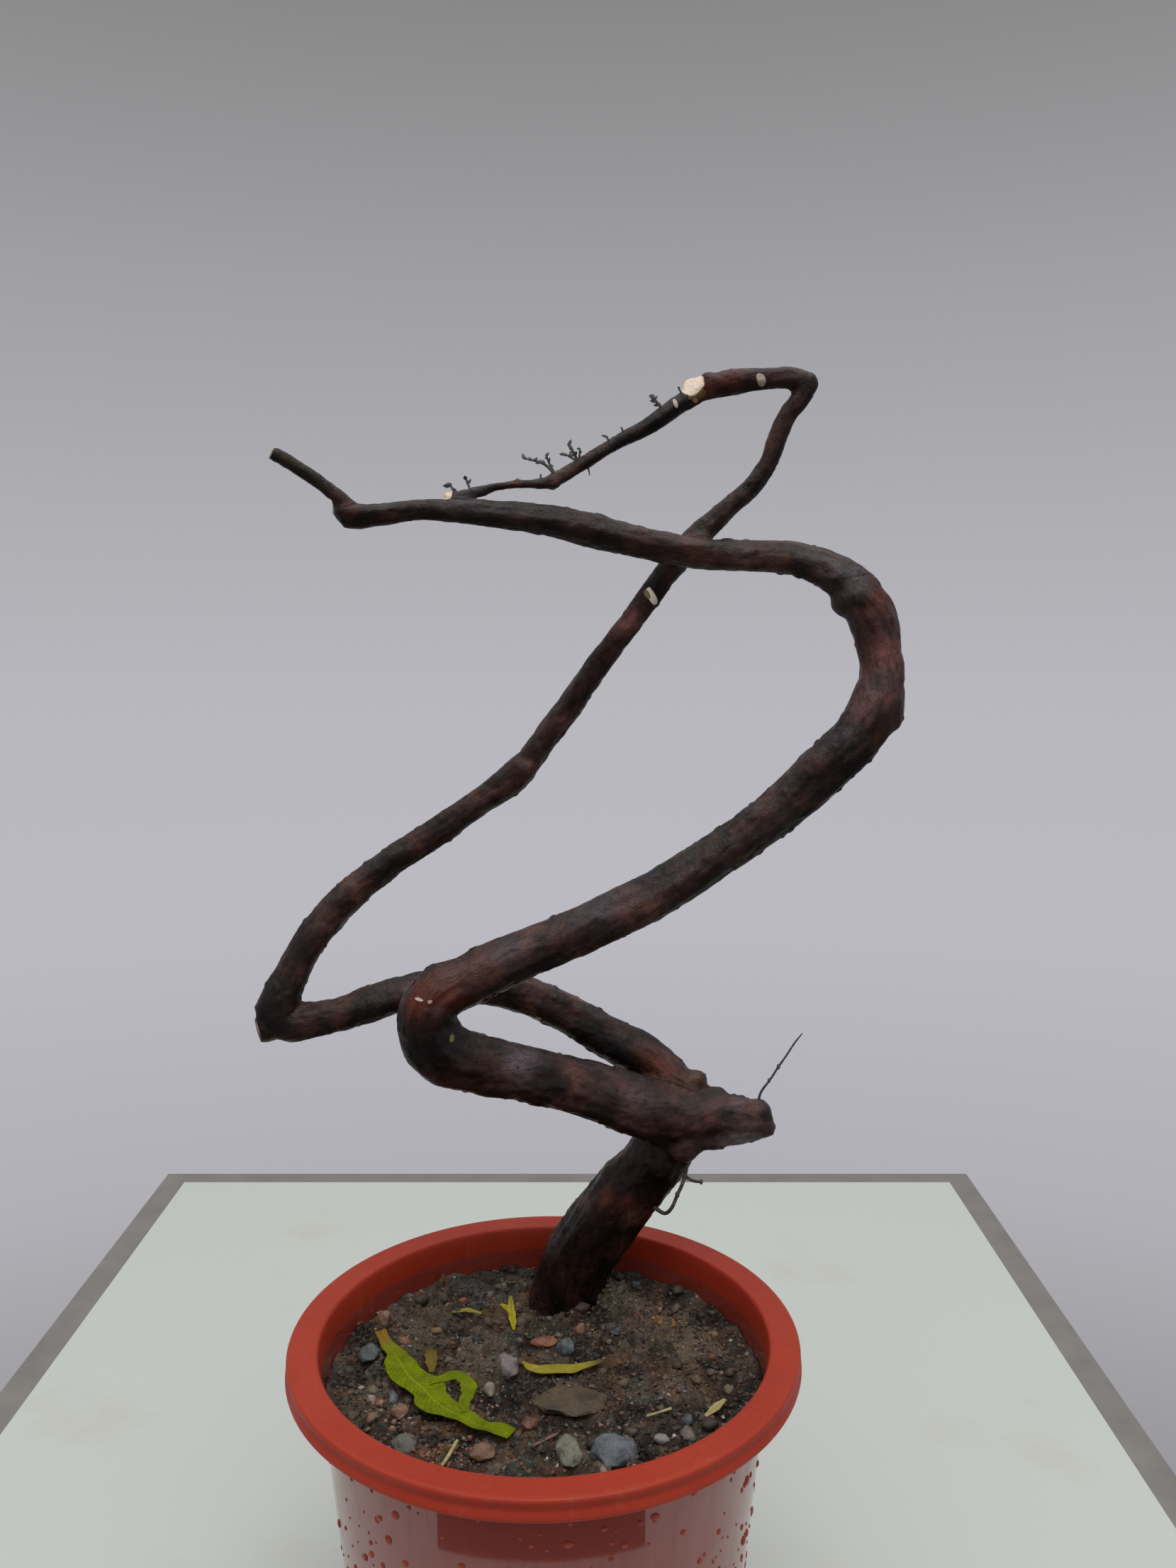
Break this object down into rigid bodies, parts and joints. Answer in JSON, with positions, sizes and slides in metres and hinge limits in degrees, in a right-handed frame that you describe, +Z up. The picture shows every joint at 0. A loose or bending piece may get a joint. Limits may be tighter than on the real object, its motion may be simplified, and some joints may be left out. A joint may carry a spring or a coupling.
{
  "type": "wall cotoneaster bonsai in a round plastic pot",
  "caption": "Bare bonsai trained in hard zigzag bends, with a leaning trunk, twin branches and first buds, planted in gritty soil in a round tapered pot with a rolled rim.",
  "frame": {"origin": "centre of the pot's underside, on the surface that it stands on", "axes": "+Z up along the pot's axis; +X to the right and +Y away, seen from the side that shows the zigzag of the branches; the trunk stands near the back wall of the pot"},
  "size_m": [0.2432, 0.1896, 0.5131],
  "materials": {
    "pot": "moulded terracotta-red plastic, glossy and wet",
    "soil": "moist gritty potting soil",
    "bark": "wet reddish-brown bark",
    "green_leaf": "fresh green leaf",
    "yellow_leaf": "yellowed leaf",
    "olive_leaf": "withered leaf",
    "straw": "dry straw",
    "red_stone": "fired clay chip",
    "grey_stone": "blue-grey stone, damp",
    "pale_stone": "pale tan stone",
    "brown_stone": "brown and orange stone"
  },
  "bodies": {
    "root": {"pot": "pot", "soil": "soil", "tree": "bark", "green_leaf": "green_leaf", "yellow_leaf": "yellow_leaf", "yellow_sprig": "yellow_leaf", "yellow_scrap": "yellow_leaf", "pale_leaf": "straw", "olive_leaf": "olive_leaf", "straw": "straw", "twiglet": "straw", "stone_red_chip": "red_stone", "stone_blue_pebble": "grey_stone", "stone_grey_chip": "grey_stone", "stone_pale": "pale_stone", "stone_flat_brown": "brown_stone", "stone_green": "grey_stone", "stone_blue_grey": "grey_stone", "stone_left_grey": "grey_stone", "stone_orange_front": "brown_stone", "stone_orange_left": "brown_stone", "stone_orange_mid": "brown_stone", "stone_tan_tip": "pale_stone", "stone_left_dark": "grey_stone", "stone_orange_right": "brown_stone", "stone_tan_trunk": "pale_stone"}
  },
  "joints": []
}
